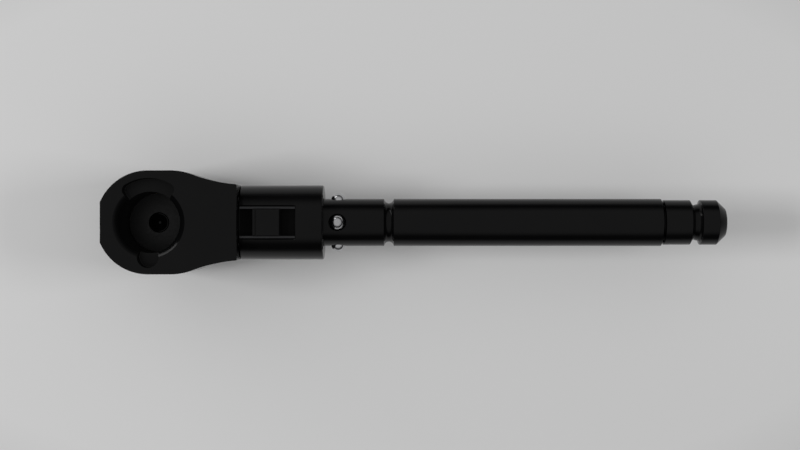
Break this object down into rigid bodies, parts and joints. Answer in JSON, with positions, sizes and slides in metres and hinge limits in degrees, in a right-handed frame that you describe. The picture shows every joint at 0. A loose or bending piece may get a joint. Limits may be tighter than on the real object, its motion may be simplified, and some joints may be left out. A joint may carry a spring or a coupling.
{
  "type": "air ratchet",
  "caption": "Slim in-line air ratchet: thick head with an open well, half-inch square drive below, motor collar with a control slide, and a long round shank with a grooved inlet stub.",
  "frame": {"origin": "centre of the square drive's end face", "axes": "+X along the tool axis from the head to the inlet end, +Z along the drive axis towards the open well, +Y across the head"},
  "size_m": [0.2726, 0.0448, 0.0528],
  "materials": {
    "gloss_black": "gloss",
    "black_oxide": "satin black oxide",
    "bright_steel": "ground",
    "dark_steel": "satin dark oxide",
    "polished_ball": "polished",
    "bearing_bronze": "turned",
    "vane_composite": "matte",
    "seal_rubber": "matte"
  },
  "bodies": {
    "body": {"head_housing": "gloss_black", "bottom_cover": "gloss_black", "cover_screw_1": "dark_steel", "cover_screw_2": "dark_steel", "cover_screw_3": "dark_steel", "cover_screw_4": "dark_steel", "thrust_washer": "bearing_bronze", "crank_bearing": "bearing_bronze", "ring_gear": "bright_steel", "front_end_plate": "dark_steel", "front_bearing": "bright_steel", "motor_cylinder": "dark_steel", "rear_end_plate": "dark_steel", "rear_bearing": "bright_steel", "collar": "gloss_black", "slide_seal": "seal_rubber", "slide_rail_1": "dark_steel", "slide_rail_2": "dark_steel", "body_screw_1": "dark_steel", "body_screw_2": "dark_steel", "body_screw_3": "dark_steel", "body_screw_4": "dark_steel", "shank_tube": "gloss_black", "ball_cage": "bright_steel", "detent_spring_1": "bright_steel", "detent_spring_2": "bright_steel", "detent_spring_3": "bright_steel", "detent_spring_4": "bright_steel", "inlet_plug": "gloss_black", "inlet_o_ring": "seal_rubber", "inlet_screen": "bright_steel"},
    "drive": {"drive_anvil": "black_oxide", "pawl_pin_1": "bright_steel", "pawl_pin_2": "bright_steel", "pawl_spring_1": "bright_steel", "pawl_spring_2": "bright_steel", "button_spring": "bright_steel"},
    "pawl_left": {"pawl_1": "bright_steel"},
    "pawl_right": {"pawl_2": "bright_steel"},
    "button": {"release_button": "black_oxide"},
    "socket_ball": {"socket_detent_ball": "polished_ball"},
    "yoke": {"ratchet_yoke": "bright_steel"},
    "crank": {"crankshaft": "bright_steel", "crank_bushing": "bearing_bronze"},
    "planet_a": {"planet_gear_1": "bright_steel"},
    "planet_b": {"planet_gear_2": "bright_steel"},
    "planet_c": {"planet_gear_3": "bright_steel"},
    "rotor": {"motor_rotor": "bright_steel", "rotor_vane_1": "vane_composite", "rotor_vane_2": "vane_composite", "rotor_vane_3": "vane_composite", "rotor_vane_4": "vane_composite", "rotor_vane_5": "vane_composite"},
    "slide": {"throttle_slide": "black_oxide"},
    "ball_1": {"detent_ball_1": "polished_ball"},
    "ball_2": {"detent_ball_2": "polished_ball"},
    "ball_3": {"detent_ball_3": "polished_ball"},
    "ball_4": {"detent_ball_4": "polished_ball"}
  },
  "joints": [
    {"name": "drive_spin", "type": "hinge", "parent": "body", "child": "drive", "pos_m": [0, 0, 0], "axis": [0, 0, 1], "continuous": true},
    {"name": "pawl_left_swing", "type": "hinge", "parent": "drive", "child": "pawl_left", "pos_m": [0.0096, 0, 0.0217], "axis": [0, 0, 1], "range_deg": [0, 5], "stiffness_Nm_per_rad": 0.02, "springref_deg": -5.73, "deforming": ["pawl_spring_1"]},
    {"name": "pawl_right_swing", "type": "hinge", "parent": "drive", "child": "pawl_right", "pos_m": [-0.0096, 0, 0.0217], "axis": [0, 0, 1], "range_deg": [0, 5], "stiffness_Nm_per_rad": 0.02, "springref_deg": -5.73, "deforming": ["pawl_spring_2"]},
    {"name": "button_press", "type": "slide", "parent": "drive", "child": "button", "axis": [0, 0, -1], "range_m": [0, 0.002], "stiffness_N_per_m": 800, "springref_m": -0.001, "deforming": ["button_spring"]},
    {"name": "socket_ball_retract", "type": "slide", "parent": "drive", "child": "socket_ball", "axis": [-1, 0, 0], "range_m": [0, 0.0009]},
    {"name": "yoke_rock", "type": "hinge", "parent": "body", "child": "yoke", "pos_m": [0, 0, 0.021], "axis": [0, 0, 1], "range_deg": [-2.5, 2.5]},
    {"name": "rotor_spin", "type": "hinge", "parent": "body", "child": "rotor", "pos_m": [0.054, 0, 0.0334], "axis": [1, 0, 0], "continuous": true},
    {"name": "crank_spin", "type": "hinge", "parent": "body", "child": "crank", "pos_m": [0.033, 0, 0.0334], "axis": [1, 0, 0], "continuous": true},
    {"name": "planet_a_spin", "type": "hinge", "parent": "crank", "child": "planet_a", "pos_m": [0.0392, 0, 0.03925], "axis": [1, 0, 0], "continuous": true},
    {"name": "planet_b_spin", "type": "hinge", "parent": "crank", "child": "planet_b", "pos_m": [0.0392, -0.00507, 0.03047], "axis": [1, 0, 0], "continuous": true},
    {"name": "planet_c_spin", "type": "hinge", "parent": "crank", "child": "planet_c", "pos_m": [0.0392, 0.00507, 0.03047], "axis": [1, 0, 0], "continuous": true},
    {"name": "throttle_slide_travel", "type": "slide", "parent": "body", "child": "slide", "axis": [1, 0, 0], "range_m": [-0.005, 0.005]},
    {"name": "ball_1_press", "type": "slide", "parent": "body", "child": "ball_1", "axis": [0, 0, -1], "range_m": [0, 0.0022], "stiffness_N_per_m": 1500, "springref_m": -0.001, "deforming": ["detent_spring_1"]},
    {"name": "ball_2_press", "type": "slide", "parent": "body", "child": "ball_2", "axis": [0, -1, 0], "range_m": [0, 0.0022], "stiffness_N_per_m": 1500, "springref_m": -0.001, "deforming": ["detent_spring_2"]},
    {"name": "ball_3_press", "type": "slide", "parent": "body", "child": "ball_3", "axis": [0, 0, 1], "range_m": [0, 0.0022], "stiffness_N_per_m": 1500, "springref_m": -0.001, "deforming": ["detent_spring_3"]},
    {"name": "ball_4_press", "type": "slide", "parent": "body", "child": "ball_4", "axis": [0, 1, 0], "range_m": [0, 0.0022], "stiffness_N_per_m": 1500, "springref_m": -0.001, "deforming": ["detent_spring_4"]}
  ],
  "couplings": [
    {"joint": "socket_ball_retract", "follows": "button_press", "ratio": 0.45},
    {"joint": "crank_spin", "follows": "rotor_spin", "ratio": 0.25},
    {"joint": "planet_a_spin", "follows": "rotor_spin", "ratio": -0.75},
    {"joint": "planet_b_spin", "follows": "rotor_spin", "ratio": -0.75},
    {"joint": "planet_c_spin", "follows": "rotor_spin", "ratio": -0.75}
  ]
}
